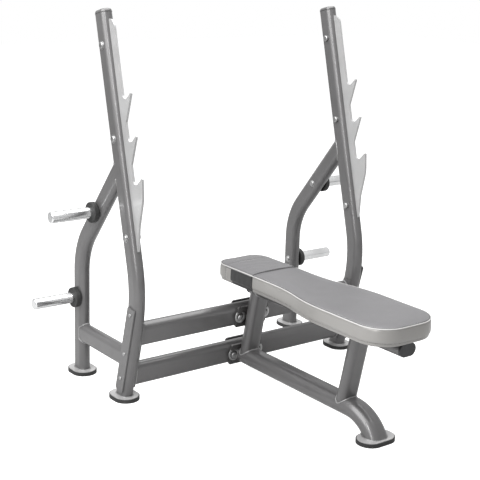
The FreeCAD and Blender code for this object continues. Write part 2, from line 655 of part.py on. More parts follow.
def leg_plates(side, sign):
    """The inner plate that the crossmembers end on, and the screwed plate on the outer face."""
    where = (f"{sign} * Sizes.side_x", "Sizes.leg_foot_y", FOOT_TOP, LEG_TILT)
    inner = make_body(f"{side}_end_plate", *where)
    middle = f"({HALF_THICK} + Sizes.end_plate / 2)"
    sketch = sketch_on(inner, "YZ_Plane", "Outline", z=f"{-sign} * {middle}")
    half = "Sizes.end_plate_wide / 2"
    box_outline(sketch, f"-{half}", half, "Sizes.end_plate_low", "Sizes.end_plate_high", "Sizes.plate_round")
    pad(inner, sketch, "Sizes.end_plate", symmetric=True)
    outer = make_body(f"{side}_cover_plate", *where)
    middle = f"({HALF_THICK} + Sizes.cover_plate / 2)"
    sketch = sketch_on(outer, "YZ_Plane", "Outline", z=f"{sign} * {middle}")
    half = "Sizes.cover_wide / 2"
    box_outline(sketch, f"-{half}", half, "Sizes.cover_low", "Sizes.cover_high", "Sizes.plate_round")
    pad(outer, sketch, "Sizes.cover_plate", symmetric=True)
    holes = sketch_on(outer, "YZ_Plane", "ScrewHoles", z=f"{sign} * {middle}")
    for along in SCREWS:
        circle(holes, "0", along, SCREW_HOLE)
    pocket(outer, holes)
    screws = make_body(f"{side}_cover_screws", *where)
    face = f"({HALF_THICK} + Sizes.cover_plate)"
    for along in SCREWS:
        steps = bolt_steps(
            sign, face, "Sizes.screw_head_radius", "Sizes.screw_head", "Sizes.screw_radius",
            f"({face} - Sizes.screw_len)",
        )
        turned(screws, "H_Axis", steps, z=along, rounds={4: "0.6 * Sizes.screw_head"})


# ---------------------------------------------------------------- crossmembers and bench frame


def crossmember(level, y, z):
    """A tall oval tube between the two front legs, drilled for the bench's bolts."""
    body = make_body(f"{level}_crossmember", "0", y, z, POST_TILT)
    section = sketch_on(body, "YZ_Plane", "Section")
    tube_section(section, "Sizes.cross_wide", "y")
    pad(body, section, f"2 * {CROSS_HALF}", symmetric=True)
    holes = sketch_on(body, "XZ_Plane", "BoltHoles")
    for sign in (-1, 1):
        circle(holes, f"{sign} * Sizes.bracket_bolt_x", "0", BOLT_HOLE)
    pocket(body, holes)


def clamp_plate(name, y, z, half_wide, near, thick):
    """A drilled plate flat against a crossmember; near is its rear face, ahead of the tube's axis."""
    body = make_body(name, "0", y, z, POST_TILT)
    sketch = sketch_on(body, "XZ_Plane", "Outline", z=near)
    half = "Sizes.flange_high / 2"
    box_outline(sketch, f"-{half_wide}", half_wide, f"-{half}", half, "Sizes.plate_round")
    pad(body, sketch, thick)
    holes = sketch_on(body, "XZ_Plane", "BoltHoles")
    for sign in (-1, 1):
        circle(holes, f"{sign} * Sizes.bracket_bolt_x", "0", BOLT_HOLE)
    pocket(body, holes)


def clamp_plates(level, y, z):
    """Flange plate on the post's side of a crossmember and back plate behind it."""
    clamp_plate(f"{level}_flange_plate", y, z, "Sizes.flange_wide / 2", HALF_THICK, "Sizes.flange")
    behind = f"(0 - {HALF_THICK} - Sizes.back_plate)"
    clamp_plate(f"{level}_back_plate", y, z, "Sizes.back_wide / 2", behind, "Sizes.back_plate")


def bracket_fasteners():
    """Four bolts through flange, crossmember and back plate, with their cap nuts."""
    where = ("0", "Sizes.cross_low_y", "Sizes.cross_low_z", POST_TILT)
    bolts = make_body("bracket_bolts", *where)
    nuts = make_body("bracket_nuts", *where)
    behind = f"({HALF_THICK} + Sizes.back_plate)"
    tip = f"(0 - {behind} - Sizes.nut_deep / 2)"
    head = "Sizes.bolt_head_radius"
    for rise in ("0", CROSS_RISE):
        for sign in (-1, 1):
            place = {"x": f"{sign} * Sizes.bracket_bolt_x", "z": rise}
            steps = bolt_steps(-1, POST_BACK, head, "Sizes.bolt_head", "Sizes.bolt_radius", tip)
            turned(bolts, "V_Axis", steps, rounds={4: "0.6 * Sizes.bolt_head"}, **place)
            steps = nut_steps(1, behind, head, BOLT_HOLE, "Sizes.nut_deep")
            turned(nuts, "V_Axis", steps, rounds={2: "0.4 * Sizes.nut_deep"}, **place)


def bench_post(name, forward):
    """A leaning post between base tube and pad beam, broad side across the bench."""
    body = make_body(name, "0", "Sizes.cross_low_y", "Sizes.cross_low_z", POST_TILT)
    drop = f"({forward} * sin(Sizes.post_lean) - Sizes.cross_low_z)"
    low = f"((Sizes.base_z + {drop}) / cos(Sizes.post_lean) + tan(Sizes.post_lean) * {HALF_THICK})"
    high = f"((Sizes.beam_z + {drop}) / cos(Sizes.post_lean) - tan(Sizes.post_lean) * {HALF_THICK})"
    section = sketch_on(body, "XY_Plane", "Section", y=f"-{forward}", z=low)
    tube_section(section, "Sizes.post_wide", "x")
    pad(body, section, f"{high} - {low}")
    base = ("Sizes.base_z", "Sizes.base_wide", "Sizes.base_high")
    beam = ("Sizes.beam_z", "Sizes.tube_wide", "Sizes.tube_thick")
    for height, wide, thick in (base, beam):
        sketch = sketch_on(
            body, "XZ_Plane", "Cope",
            y=f"({height} - Sizes.cross_low_z) * cos(Sizes.post_lean)",
            z=f"(0 - ({height} - Sizes.cross_low_z) * sin(Sizes.post_lean))",
            turn=((-1, 0, 0), "Sizes.post_lean"),
        )
        oval(sketch, wide, thick, "x")
        pocket(body, sketch, "4 * Sizes.base_corner")


def base_tube():
    """The flat-lying floor tube, bent down at the front to its foot."""
    body = make_body("base_tube")
    rear = "Sizes.tube_wide"
    length = f"(Sizes.base_z / sin(Sizes.base_drop) + {rear})"
    path = sketch_on(body, "YZ_Plane", "Path")
    outline(path, [
        (rear, "Sizes.base_z", None),
        ("-Sizes.base_corner", "Sizes.base_z", "Sizes.base_bend_radius"),
        (
            f"-Sizes.base_corner - {length} * cos(Sizes.base_drop)",
            f"Sizes.base_z - {length} * sin(Sizes.base_drop)",
            None,
        ),
    ], closed=False)
    section = sketch_on(body, "XZ_Plane", "Section", z=f"-{rear}")
    tube_section(section, "Sizes.base_wide", "x", y="Sizes.base_z", thick="Sizes.base_high")
    pipe(body, section, path)
    ends = sketch_on(
        body, "YZ_Plane", "RearTrim", x="Sizes.cross_low_y", y="Sizes.cross_low_z",
        turn=((0, 0, 1), "Sizes.post_lean"),
    )
    far = "3 * Sizes.tube_wide"
    box_outline(ends, f"-{POST_BACK}", far, f"-{far}", far)
    pocket(body, ends)
    trim = sketch_on(body, "YZ_Plane", "FootTrim", x="-Sizes.base_corner", y=FOOT_TOP)
    box_outline(trim, "-Sizes.base_corner", "Sizes.base_corner / 2", "-Sizes.base_corner", "0")
    pocket(body, trim)


def pad_beam():
    """The tube under the pad, with a plug in each end."""
    body = make_body("pad_beam")
    section = sketch_on(body, "XZ_Plane", "Section", z="Sizes.beam_rear")
    tube_section(section, "Sizes.tube_wide", "x", y="Sizes.beam_z")
    pad(body, section, "Sizes.beam_front - Sizes.beam_rear")
    for name, face, inwards in (("rear", "Sizes.beam_rear", False), ("front", "Sizes.beam_front", True)):
        cap = make_body(f"beam_{name}_cap", z="Sizes.beam_z")
        flange = sketch_on(cap, "XZ_Plane", "Flange", z=face)
        oval(flange, "Sizes.tube_wide", "Sizes.tube_thick", "x")
        pad(cap, flange, "Sizes.beam_cap", reversed_=not inwards)
        plug = sketch_on(cap, "XZ_Plane", "Plug", z=face)
        less = "2 * (Sizes.tube_wall + Sizes.fit_gap)"
        oval(plug, f"(Sizes.tube_wide - {less})", f"(Sizes.tube_thick - {less})", "x")
        pad(cap, plug, "Sizes.cap_plug", reversed_=inwards)


# ---------------------------------------------------------------- pad


def mount_places():
    """Both saddle plates: name and forward distance."""
    return (("rear", "Sizes.mount_rear"), ("front", "Sizes.mount_front"))


def pad_mounts():
    """Saddle plates on the beam, and the bolts that hold the board down on them."""
    bolts = make_body("pad_bolts", z=BEAM_TOP)
    for name, forward in mount_places():
        plate = make_body(f"{name}_pad_mount", "0", f"-{forward}", BEAM_TOP)
        sketch = sketch_on(plate, "XY_Plane", "Outline")
        wide, deep = "Sizes.mount_wide / 2", "Sizes.mount_deep / 2"
        box_outline(sketch, f"-{wide}", wide, f"-{deep}", deep, "Sizes.plate_round")
        pad(plate, sketch, "Sizes.mount_thick")
        holes = sketch_on(plate, "XY_Plane", "BoltHoles")
        for sign in (-1, 1):
            circle(holes, f"{sign} * Sizes.mount_bolt_x", "0", "Sizes.mount_bolt_radius + Sizes.fit_gap")
            pad_bolt(bolts, sign, forward)
        pocket(plate, holes)


def pad_bolt(body, sign, forward):
    """One button-head bolt, its head under the saddle plate and its shank up into the board."""
    sketch = sketch_on(body, "XZ_Plane", "HalfProfile", x=f"{sign} * Sizes.mount_bolt_x", z=forward)
    tip = "Sizes.mount_thick + Sizes.mount_bite"
    outline(sketch, [
        ("0", "-Sizes.mount_head", None),
        ("Sizes.mount_head_radius", "-Sizes.mount_head", "0.6 * Sizes.mount_head"),
        ("Sizes.mount_head_radius", "0", None),
        ("Sizes.mount_bolt_radius", "0", None),
        ("Sizes.mount_bolt_radius", tip, None),
        ("0", tip, None),
    ])
    revolve(body, sketch, "V_Axis")


def pad_outline(sketch, inset):
    """The pad from above: narrow head end, a flare, and a broad front end with round corners."""
    half = [
        (f"Sizes.pad_neck - {inset}", f"Sizes.pad_head - {inset}", f"Sizes.pad_head_round - {inset}"),
        (f"Sizes.pad_neck - {inset}", "-Sizes.flare_start", "Sizes.flare_radius"),
        (f"Sizes.pad_seat - {inset}", "-Sizes.flare_end", "Sizes.flare_radius"),
        (f"Sizes.pad_seat - {inset}", f"{inset} - Sizes.pad_front", f"Sizes.pad_front_round - {inset}"),
    ]
    mirrored = [(f"-({x})", y, radius) for x, y, radius in half[::-1]]
    outline(sketch, half + mirrored)


def pad_board():
    """The board under the foam, drilled from below for the pad bolts."""
    body = make_body("pad_board", z=BOARD_LOW)
    sketch = sketch_on(body, "XY_Plane", "Outline")
    pad_outline(sketch, "Sizes.board_inset")
    pad(body, sketch, "Sizes.board_thick")
    holes = sketch_on(body, "XY_Plane", "BoltHoles")
    for name, forward in mount_places():
        for sign in (-1, 1):
            radius = "Sizes.mount_bolt_radius + Sizes.fit_gap"
            circle(holes, f"{sign} * Sizes.mount_bolt_x", f"-{forward}", radius)
    pocket(body, holes, "2 * (Sizes.mount_bite + Sizes.fit_gap)")


def seat_pad():
    """The upholstered pad as one closed solid."""
    body = make_body("seat_pad", z=PAD_LOW)
    sketch = sketch_on(body, "XY_Plane", "Outline")
    pad_outline(sketch, "0")
    block = pad(body, sketch, "Sizes.pad_thick")
    round_rim(body, block, number("Sizes.pad_thick"), "Sizes.pad_edge")


def head_cover():
    """The wear cover across the pad's head end: over the top and down both sides."""
    body = make_body("head_cover", z=PAD_LOW)
    sketch = sketch_on(body, "XZ_Plane", "Section", z="Sizes.cover_rear")
    inner = "(Sizes.pad_neck + Sizes.fit_gap)"
    outer = f"({inner} + Sizes.cover_skin)"
    top = "(Sizes.pad_thick + Sizes.fit_gap)"
    skin = f"({top} + Sizes.cover_skin)"
    edge = "Sizes.pad_edge"
    outline(sketch, [
        (f"-{outer}", "0", None),
        (f"-{outer}", skin, f"{edge} + Sizes.cover_skin"),
        (outer, skin, f"{edge} + Sizes.cover_skin"),
        (outer, "0", None),
        (inner, "0", None),
        (inner, top, edge),
        (f"-{inner}", top, edge),
        (f"-{inner}", "0", None),
    ])
    pad(body, sketch, "Sizes.cover_front - Sizes.cover_rear")


# ---------------------------------------------------------------- assembly, checks and files


def build():
    """Every sub-part in its place."""
    for side, sign in SIDES:
        upright(side, sign)
        rear_leg(side, sign)
        side_rail(side, sign)
        top_cap(side, sign)
        hook_strip(side, sign)
        hook_fasteners(side, sign)
        plate_horns(side, sign)
        leg_plates(side, sign)
        for end, y in ENDS:
            foot(f"{side}_{end}", f"{sign} * Sizes.side_x", y, "Sizes.foot_long", "y")
    levels = (
        ("lower", "Sizes.cross_low_y", "Sizes.cross_low_z"),
        ("upper", CROSS_HIGH_Y, "Sizes.cross_high_z"),
    )
    for level, y, z in levels:
        crossmember(level, y, z)
        clamp_plates(level, y, z)
    bracket_fasteners()
    base_tube()
    bench_post("rear_post", f"({POST_BACK} + {HALF_THICK})")
    bench_post("front_post", "(Sizes.front_post * cos(Sizes.post_lean))")
    foot_rise = f"(Sizes.base_z - {FOOT_TOP})"
    foot_y = f"(0 - Sizes.base_corner - {foot_rise} / tan(Sizes.base_drop))"
    foot("bench", "0", foot_y, "Sizes.bench_foot_long", "x")
    pad_beam()
    pad_mounts()
    pad_board()
    seat_pad()
    head_cover()


def check():
    """Stop on a failed feature, a bad shape or a cut that removed nothing."""
    for item in doc.Objects:
        if "Invalid" in item.State or "Error" in item.State:
            raise RuntimeError(f"{item.Label} failed: {item.State}")
    for body in bodies:
        if body.Shape.isNull() or not body.Shape.isValid():
            raise RuntimeError(f"{body.Label} has no valid shape")
        for item in body.Group:
            if item.TypeId == "PartDesign::Pocket":
                if item.Shape.Volume > item.BaseFeature.Shape.Volume - 1:
                    raise RuntimeError(f"{item.Label} in {body.Label} cuts nothing")


build()
doc.recompute()
check()
os.makedirs("parts", exist_ok=True)
for body in bodies:
    body.Shape.exportStep(f"parts/{body.Label}.step")
print(len(bodies), "sub-parts")
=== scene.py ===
# %% [markdown]
# # A flat bench press, finished in Blender
#
# The CAD frame arrives with every tube, plate and bolt already at its real
# size. This notebook adds what CAD leaves plain: powder coat, chrome, rubber,
# the padded top with its piping and stitches, the slip-over head cover, the
# weld beads and the washers under the bolts.

import json
import math

import bmesh
import bpy
import numpy as np
from mathutils import Matrix, Vector, noise
from mathutils.bvhtree import BVHTree


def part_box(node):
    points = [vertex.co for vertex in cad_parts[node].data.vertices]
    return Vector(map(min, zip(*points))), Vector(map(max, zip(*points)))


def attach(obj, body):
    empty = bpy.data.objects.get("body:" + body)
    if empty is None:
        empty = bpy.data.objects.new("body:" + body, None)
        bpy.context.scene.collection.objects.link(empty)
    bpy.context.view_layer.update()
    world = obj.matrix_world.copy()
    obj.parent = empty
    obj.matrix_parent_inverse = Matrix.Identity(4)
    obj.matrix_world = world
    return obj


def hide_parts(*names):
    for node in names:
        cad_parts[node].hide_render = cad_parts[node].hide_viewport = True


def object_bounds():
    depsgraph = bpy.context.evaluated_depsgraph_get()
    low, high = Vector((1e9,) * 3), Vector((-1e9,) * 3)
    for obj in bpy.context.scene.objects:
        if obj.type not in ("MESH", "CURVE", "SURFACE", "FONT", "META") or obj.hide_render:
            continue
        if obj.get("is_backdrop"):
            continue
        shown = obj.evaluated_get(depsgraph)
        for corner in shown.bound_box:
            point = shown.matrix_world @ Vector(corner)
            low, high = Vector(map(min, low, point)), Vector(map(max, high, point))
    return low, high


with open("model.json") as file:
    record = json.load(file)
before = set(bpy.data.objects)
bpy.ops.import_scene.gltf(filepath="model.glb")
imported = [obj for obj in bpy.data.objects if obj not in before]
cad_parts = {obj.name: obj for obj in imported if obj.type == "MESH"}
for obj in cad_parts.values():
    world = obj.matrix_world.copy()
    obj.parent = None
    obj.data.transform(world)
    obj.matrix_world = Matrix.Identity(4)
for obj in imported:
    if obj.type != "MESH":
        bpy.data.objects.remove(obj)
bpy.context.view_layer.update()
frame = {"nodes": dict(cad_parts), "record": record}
nodes = frame["nodes"]
print("CAD nodes:", len(nodes))

# %% [markdown]
# ## A small kit for procedural materials
#
# Every finish is a Principled shader with the same three layers of detail:
# a broad patchiness in the colour, a fine bump, and roughness that wanders a
# little. Noise on Object coordinates is the right source here, because the
# pieces sit at the origin at real size, so a scale of 700 means 1.4 mm grains.


# %%
def new_material(name, colour, metallic, roughness, **sockets):
    material = bpy.data.materials.new(name)
    material.use_nodes = True
    tree = material.node_tree
    shader = tree.nodes["Principled BSDF"]
    shader.inputs["Base Color"].default_value = (*colour, 1)
    shader.inputs["Metallic"].default_value = metallic
    shader.inputs["Roughness"].default_value = roughness
    for socket, value in sockets.items():
        shader.inputs[socket.replace("_", " ")].default_value = value
    return material, tree, shader


def noise_layer(tree, scale, detail=3.0, stretch=(1, 1, 1)):
    place = tree.nodes.new("ShaderNodeTexCoord")
    mapping = tree.nodes.new("ShaderNodeMapping")
    mapping.inputs["Scale"].default_value = stretch
    layer = tree.nodes.new("ShaderNodeTexNoise")
    layer.inputs["Scale"].default_value = scale
    layer.inputs["Detail"].default_value = detail
    tree.links.new(place.outputs["Object"], mapping.inputs["Vector"])
    tree.links.new(mapping.outputs["Vector"], layer.inputs["Vector"])
    return layer.outputs["Fac"]


def remap(tree, value, low, high, start=0.3, end=0.7):
    ramp = tree.nodes.new("ShaderNodeMapRange")
    for socket, number in zip(
        ("From Min", "From Max", "To Min", "To Max"), (start, end, low, high)
    ):
        ramp.inputs[socket].default_value = number
    tree.links.new(value, ramp.inputs["Value"])
    return ramp.outputs["Result"]


def colour_mix(tree, value, first, second):
    mix = tree.nodes.new("ShaderNodeMix")
    mix.data_type = "RGBA"
    mix.inputs[6].default_value = (*first, 1)
    mix.inputs[7].default_value = (*second, 1)
    tree.links.new(value, mix.inputs[0])
    return mix.outputs[2]


def bump(tree, shader, height, strength, distance):
    node = tree.nodes.new("ShaderNodeBump")
    node.inputs["Strength"].default_value = strength
    node.inputs["Distance"].default_value = distance
    tree.links.new(height, node.inputs["Height"])
    tree.links.new(node.outputs["Normal"], shader.inputs["Normal"])
    return node


def tint(colour, factor):
    return tuple(min(1.0, channel * factor) for channel in colour)


def painted(name, colour, metallic=0.55, roughness=0.4, grain=700, coat=0.55):
    """Metallic powder coat: orange-peel bump, faint patches, a thin clear coat."""
    material, tree, shader = new_material(
        name, colour, metallic, roughness, Coat_Weight=coat, Coat_Roughness=0.16
    )
    patches = remap(tree, noise_layer(tree, 9, 4), 0, 1)
    flakes = remap(tree, noise_layer(tree, 2600, 1), 0, 1, 0.35, 0.65)
    blend = tree.nodes.new("ShaderNodeMath")
    blend.operation = "MULTIPLY_ADD"
    blend.inputs[1].default_value = 0.5
    tree.links.new(patches, blend.inputs[0])
    half = tree.nodes.new("ShaderNodeMath")
    half.operation = "MULTIPLY"
    half.inputs[1].default_value = 0.5
    tree.links.new(flakes, half.inputs[0])
    tree.links.new(half.outputs[0], blend.inputs[2])
    shade = colour_mix(tree, blend.outputs[0], tint(colour, 0.88), tint(colour, 1.12))
    tree.links.new(shade, shader.inputs["Base Color"])
    rough = remap(tree, noise_layer(tree, 30, 3), roughness - 0.05, roughness + 0.06)
    tree.links.new(rough, shader.inputs["Roughness"])
    bump(tree, shader, noise_layer(tree, grain, 2), 0.25, 0.0004)
    return material


# %% [markdown]
# ## Metals, rubber and plastic
#
# Chrome needs almost no colour of its own, only very faint turning marks
# round the bar: noise squeezed along X gives rings. Rubber and moulded
# plastic are dark and matt with a coarse grain.


# %%
def polished(name, colour, roughness, rings):
    """Plated steel with fine turning marks and fingerprints in the roughness."""
    material, tree, shader = new_material(name, colour, 1.0, roughness)
    smudges = noise_layer(tree, 22, 4)
    rough = remap(tree, smudges, roughness * 0.8, roughness * 1.7)
    tree.links.new(rough, shader.inputs["Roughness"])
    marks = noise_layer(tree, 60, 2, (rings, 1, 1))
    bump(tree, shader, marks, 0.08, 0.0003)
    shade = colour_mix(
        tree, remap(tree, smudges, 0, 1), tint(colour, 0.93), tint(colour, 1.03)
    )
    tree.links.new(shade, shader.inputs["Base Color"])
    return material


def moulded(name, colour, roughness, grain, depth):
    """Rubber or plastic: a pebbled skin with paler dust in the broad patches."""
    material, tree, shader = new_material(name, colour, 0.0, roughness)
    dust = remap(tree, noise_layer(tree, 14, 5), 0, 1, 0.42, 0.75)
    shade = colour_mix(tree, dust, tint(colour, 0.8), tint(colour, 1.7))
    tree.links.new(shade, shader.inputs["Base Color"])
    bump(tree, shader, noise_layer(tree, grain, 3), 0.5, depth)
    return material


def plywood(name):
    """Black-stained plywood: long grain shows faintly through the stain."""
    material, tree, shader = new_material(name, (0.03, 0.028, 0.026), 0.0, 0.6)
    grain = noise_layer(tree, 26, 8, (9, 0.7, 30))
    shade = colour_mix(
        tree, remap(tree, grain, 0, 1), (0.018, 0.017, 0.016), (0.05, 0.046, 0.041)
    )
    tree.links.new(shade, shader.inputs["Base Color"])
    bump(tree, shader, grain, 0.3, 0.0006)
    return material


GREY = (0.112, 0.110, 0.111)
SILVER = (0.44, 0.44, 0.44)
finish = {
    "frame_paint": painted("powder_coat_grey", GREY, 0.35, 0.36),
    "cap_paint": painted("powder_coat_cap", tint(GREY, 0.95), 0.35, 0.34),
    "hook_paint": painted("powder_coat_silver", SILVER, 0.45, 0.36),
    "foot_paint": painted("powder_coat_foot", (0.45, 0.446, 0.446), 0.25, 0.34),
    # Bracket plates: about half as light as the frame grey, painted shade where they sit
    # between the posts and crossmembers.
    "bracket_paint": painted("powder_coat_bracket_painted_shade", (0.06, 0.058, 0.058), 0.35, 0.3),
    "chrome": polished("chrome_bar", (0.78, 0.785, 0.79), 0.16, 12),
    "fastener": polished("zinc_bolt", (0.40, 0.40, 0.40), 0.26, 3),
    "rubber": moulded("black_rubber", (0.018, 0.018, 0.018), 0.62, 420, 0.0006),
    "end_plastic": moulded("black_plastic", (0.022, 0.022, 0.024), 0.42, 900, 0.0003),
    "board": plywood("plywood"),
}
print("finishes:", ", ".join(finish))

# %% [markdown]
# ## Vinyl
#
# Upholstery vinyl is an embossed skin: small pebbles with creases between
# them. A Voronoi distance-to-edge gives the creases, a softer noise keeps the
# pebbles from looking stamped, and a little sheen lifts the grazing angles.


# %%
def vinyl(name, colour, roughness=0.42, pebble=520, metallic=0.0, relief=0.12):
    material, tree, shader = new_material(
        name, colour, metallic, roughness, Sheen_Weight=0.08, Coat_Weight=0.12
    )
    shader.inputs["Coat Roughness"].default_value = 0.3
    place = tree.nodes.new("ShaderNodeTexCoord")
    cells = tree.nodes.new("ShaderNodeTexVoronoi")
    cells.feature = "DISTANCE_TO_EDGE"
    cells.inputs["Scale"].default_value = pebble
    tree.links.new(place.outputs["Object"], cells.inputs["Vector"])
    creases = remap(tree, cells.outputs["Distance"], 0, 1, 0.0, 0.22)
    soft = noise_layer(tree, pebble * 0.4, 2)
    height = tree.nodes.new("ShaderNodeMath")
    height.operation = "ADD"
    tree.links.new(creases, height.inputs[0])
    tree.links.new(soft, height.inputs[1])
    bump(tree, shader, height.outputs[0], relief, 0.0005)
    patches = remap(tree, noise_layer(tree, 7, 4), 0, 1)
    shade = colour_mix(tree, patches, tint(colour, 0.97), tint(colour, 1.03))
    tree.links.new(shade, shader.inputs["Base Color"])
    rough = remap(tree, noise_layer(tree, 18, 3), roughness - 0.02, roughness + 0.03)
    tree.links.new(rough, shader.inputs["Roughness"])
    return material


TOP_VINYL = vinyl("vinyl_top_grey", (0.103, 0.101, 0.105))
BAND_VINYL = vinyl("vinyl_band_silver", (0.268, 0.261, 0.251), 0.30, metallic=0.25, relief=0.05)
# Piping: a real cord, but its vinyl is paler than the band, a painted highlight along the pad's
# top edge.
PIPING_VINYL_PAINTED_HIGHLIGHT = vinyl("vinyl_piping_painted_highlight", (0.46, 0.455, 0.445), 0.34, 800)
BLACK_VINYL = vinyl("vinyl_black", (0.012, 0.012, 0.0125), 0.50)
UNDER_CLOTH = moulded("underside_cloth", (0.02, 0.02, 0.02), 0.85, 1400, 0.0004)
THREAD = moulded("thread_grey", (0.40, 0.40, 0.40), 0.7, 2500, 0.0002)
DARK_THREAD = moulded("thread_black", (0.03, 0.03, 0.03), 0.7, 2500, 0.0002)
# Weld beads: real beads in frame powder coat, but over twice as light as the frame grey, a
# painted highlight along each weld.
WELD_PAINTED_HIGHLIGHT = painted("weld_paint_with_painted_highlight", (0.26, 0.258, 0.258), 0.3, 0.34)
finish["pad_vinyl"] = TOP_VINYL
finish["cover_vinyl"] = TOP_VINYL

for part in frame["record"]["subparts"]:
    node = nodes[part["node"]]
    node.data.materials.clear()
    node.data.materials.append(finish[part["material_slot"]])

# %% [markdown]
# ## Helpers for new pieces
#
# A plane through a CAD solid gives the exact line where the solid meets
# something, so welds, piping and stitches can follow the real shape. The
# copy of a CAD mesh is merged first, because it arrives as loose triangles.


# %%
def merged_copy(node):
    mesh = bmesh.new()
    mesh.from_mesh(nodes[node].data)
    bmesh.ops.remove_doubles(mesh, verts=mesh.verts, dist=1e-5)
    return mesh


def bvh_of(node):
    mesh = merged_copy(node)
    tree = BVHTree.FromBMesh(mesh)
    mesh.free()
    return tree


def section_ring(node, point, normal):
    """The longest closed loop where a plane cuts a CAD solid, as points."""
    mesh = merged_copy(node)
    cut = bmesh.ops.bisect_plane(
        mesh,
        geom=mesh.verts[:] + mesh.edges[:] + mesh.faces[:],
        plane_co=point,
        plane_no=normal,
    )
    lines = {e for e in cut["geom_cut"] if isinstance(e, bmesh.types.BMEdge)}
    loops = []
    while lines:
        edge = lines.pop()
        start, here = edge.verts
        loop = [start.co.copy(), here.co.copy()]
        moving = True
        while moving:
            moving = False
            for other in here.link_edges:
                if other in lines:
                    lines.remove(other)
                    here = other.other_vert(here)
                    loop.append(here.co.copy())
                    moving = True
                    break
        loops.append(loop)
    mesh.free()

    def length(loop):
        return sum((b - a).length for a, b in zip(loop, loop[1:]))

    best = max(loops, key=length)
    if (best[0] - best[-1]).length < 1e-5:
        best.pop()
    return best


def resample(ring, count):
    """The same closed line with evenly spaced points."""
    closed = ring + [ring[0]]
    steps = [(b - a).length for a, b in zip(closed, closed[1:])]
    total = sum(steps)
    made, index, walked = [], 0, 0.0
    for k in range(count):
        target = total * k / count
        while walked + steps[index] < target:
            walked += steps[index]
            index += 1
        share = (target - walked) / max(steps[index], 1e-9)
        made.append(closed[index].lerp(closed[index + 1], share))
    return made


def plan_normals(ring):
    """Outward normals of a level ring."""
    area = sum(
        a.x * b.y - b.x * a.y for a, b in zip(ring, ring[1:] + ring[:1])
    )
    turn = 1 if area > 0 else -1
    made = []
    for before, after in zip(ring[-1:] + ring[:-1], ring[1:] + ring[:1]):
        along = (after - before).normalized()
        made.append(Vector((along.y * turn, -along.x * turn, 0)).normalized())
    return made


def add_object(name, mesh, *materials):
    """Turn a BMesh into a finished, smooth-shaded piece that rides the frame."""
    bmesh.ops.recalc_face_normals(mesh, faces=mesh.faces)
    data = bpy.data.meshes.new(name)
    mesh.to_mesh(data)
    mesh.free()
    for polygon in data.polygons:
        polygon.use_smooth = True
    for material in materials:
        data.materials.append(material)
    piece = bpy.data.objects.new(name, data)
    bpy.context.scene.collection.objects.link(piece)
    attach(piece, "root")
    return piece


def bead(name, points, radius, material, closed=True, ripple=0.0, sides=8):
    """A round bead along a line; ripple swells it the way a weld puddle does."""
    curve = bpy.data.curves.new(name, "CURVE")
    curve.dimensions = "3D"
    curve.bevel_depth = radius
    curve.bevel_resolution = sides // 4
    curve.use_fill_caps = not closed
    spline = curve.splines.new("POLY")
    spline.points.add(len(points) - 1)
    spline.use_cyclic_u = closed
    for index, (point, place) in enumerate(zip(spline.points, points)):
        point.co = (*place, 1)
        point.radius = 1 + ripple * math.cos(index * math.pi * 0.66)
    holder = bpy.data.objects.new(name + "_line", curve)
    bpy.context.scene.collection.objects.link(holder)
    made = bpy.data.meshes.new_from_object(holder)
    bpy.data.objects.remove(holder)
    mesh = bmesh.new()
    mesh.from_mesh(made)
    bmesh.ops.remove_doubles(mesh, verts=mesh.verts, dist=1e-6)
    return add_object(name, mesh, material)


# %% [markdown]
# ## The seat pad
#
# Real pads are foam under tight vinyl. The CAD block is remeshed into even
# quads, its lower sides are drawn in, and a short cloth simulation with air
# pressure fills it out. The movement is capped, so the pad keeps its size, and
# averaged with its neighbours, so foam-like crowning stays and creases go.

# %%
PAD_VOXEL = 0.005
PAD_DRAW_IN = 0.002
PAD_SHRINK = -0.001
PAD_CAP = 0.0055
PAD_CALM = 60
PAD_TOP_DROP = 0.0025
pad_low, pad_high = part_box("seat_pad")
pad_height = pad_high.z - pad_low.z
MID_Z = (pad_low.z + pad_high.z) / 2
outline = resample(section_ring("seat_pad", (0, 0, MID_Z), (0, 0, 1)), 360)
normals = plan_normals(outline)


def evaluated_copy(piece):
    bpy.context.view_layer.update()
    graph = bpy.context.evaluated_depsgraph_get()
    return bpy.data.meshes.new_from_object(piece.evaluated_get(graph))


def pad_start():
    """The pad before it is filled: remeshed, slightly small, sides drawn in."""
    mesh = merged_copy("seat_pad")
    data = bpy.data.meshes.new("seat_cushion")
    mesh.to_mesh(data)
    mesh.free()
    piece = bpy.data.objects.new("seat_cushion", data)
    bpy.context.scene.collection.objects.link(piece)
    remesh = piece.modifiers.new("remesh", "REMESH")
    remesh.mode = "VOXEL"
    remesh.voxel_size = PAD_VOXEL
    piece.data = evaluated_copy(piece)
    piece.modifiers.clear()
    tree_normals = [v.normal.copy() for v in piece.data.vertices]
    for vertex, normal in zip(piece.data.vertices, tree_normals):
        rise = (vertex.co.z - pad_low.z) / pad_height
        flat = Vector((normal.x, normal.y, 0))
        below = max(0.0, 1 - rise / 0.6)
        vertex.co -= flat * (PAD_SHRINK + PAD_DRAW_IN * below**1.6)
        if rise > 0.5:
            vertex.co.z -= PAD_TOP_DROP * max(0.0, normal.z)
    return piece


